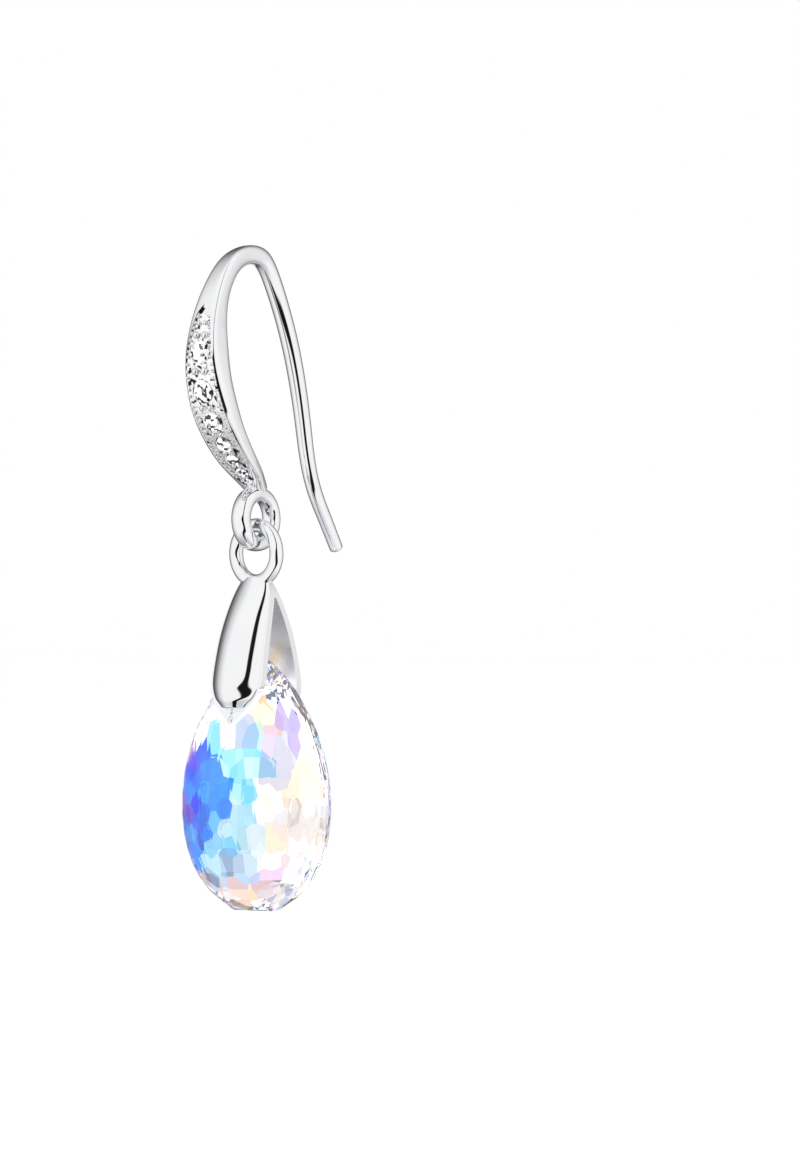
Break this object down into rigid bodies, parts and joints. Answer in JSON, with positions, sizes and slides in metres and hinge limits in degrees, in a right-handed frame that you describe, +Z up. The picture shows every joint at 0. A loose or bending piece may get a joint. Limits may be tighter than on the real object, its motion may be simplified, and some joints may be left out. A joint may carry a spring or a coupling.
{
  "type": "drop earring",
  "caption": "Ear-hook drop earring: an open wire hook with a stone-paved front band, a linked pinch bail, and a faceted pear crystal hanging from it.",
  "frame": {"origin": "underside of the hook's arch, where it sits in the ear", "axes": "+Z up, -Y towards the paved front, +Y towards the wire's tail, X across the crystal's width"},
  "size_m": [0.0108, 0.0145, 0.0412],
  "materials": {
    "hook_metal": "polished rhodium-plated silver",
    "pave_stones": "round cut clear stones in bead settings",
    "bail_metal": "polished rhodium-plated silver",
    "crystal": "clear cut crystal with a blue iridescent coating"
  },
  "bodies": {
    "hook": {"ear_hook": "hook_metal", "pave_strip": "pave_stones"},
    "bail": {"pinch_bail": "bail_metal"},
    "crystal": {"crystal_drop": "crystal"}
  },
  "joints": [
    {"name": "drop_swing", "type": "hinge", "parent": "hook", "child": "bail", "pos_m": [0, 0.00028, -0.01614], "axis": [1, 0, 0], "range_deg": [-90, 55]},
    {"name": "crystal_rock", "type": "hinge", "parent": "bail", "child": "crystal", "pos_m": [0, 0.00028, -0.0264], "axis": [0, 1, 0], "range_deg": [-20, 20]}
  ]
}
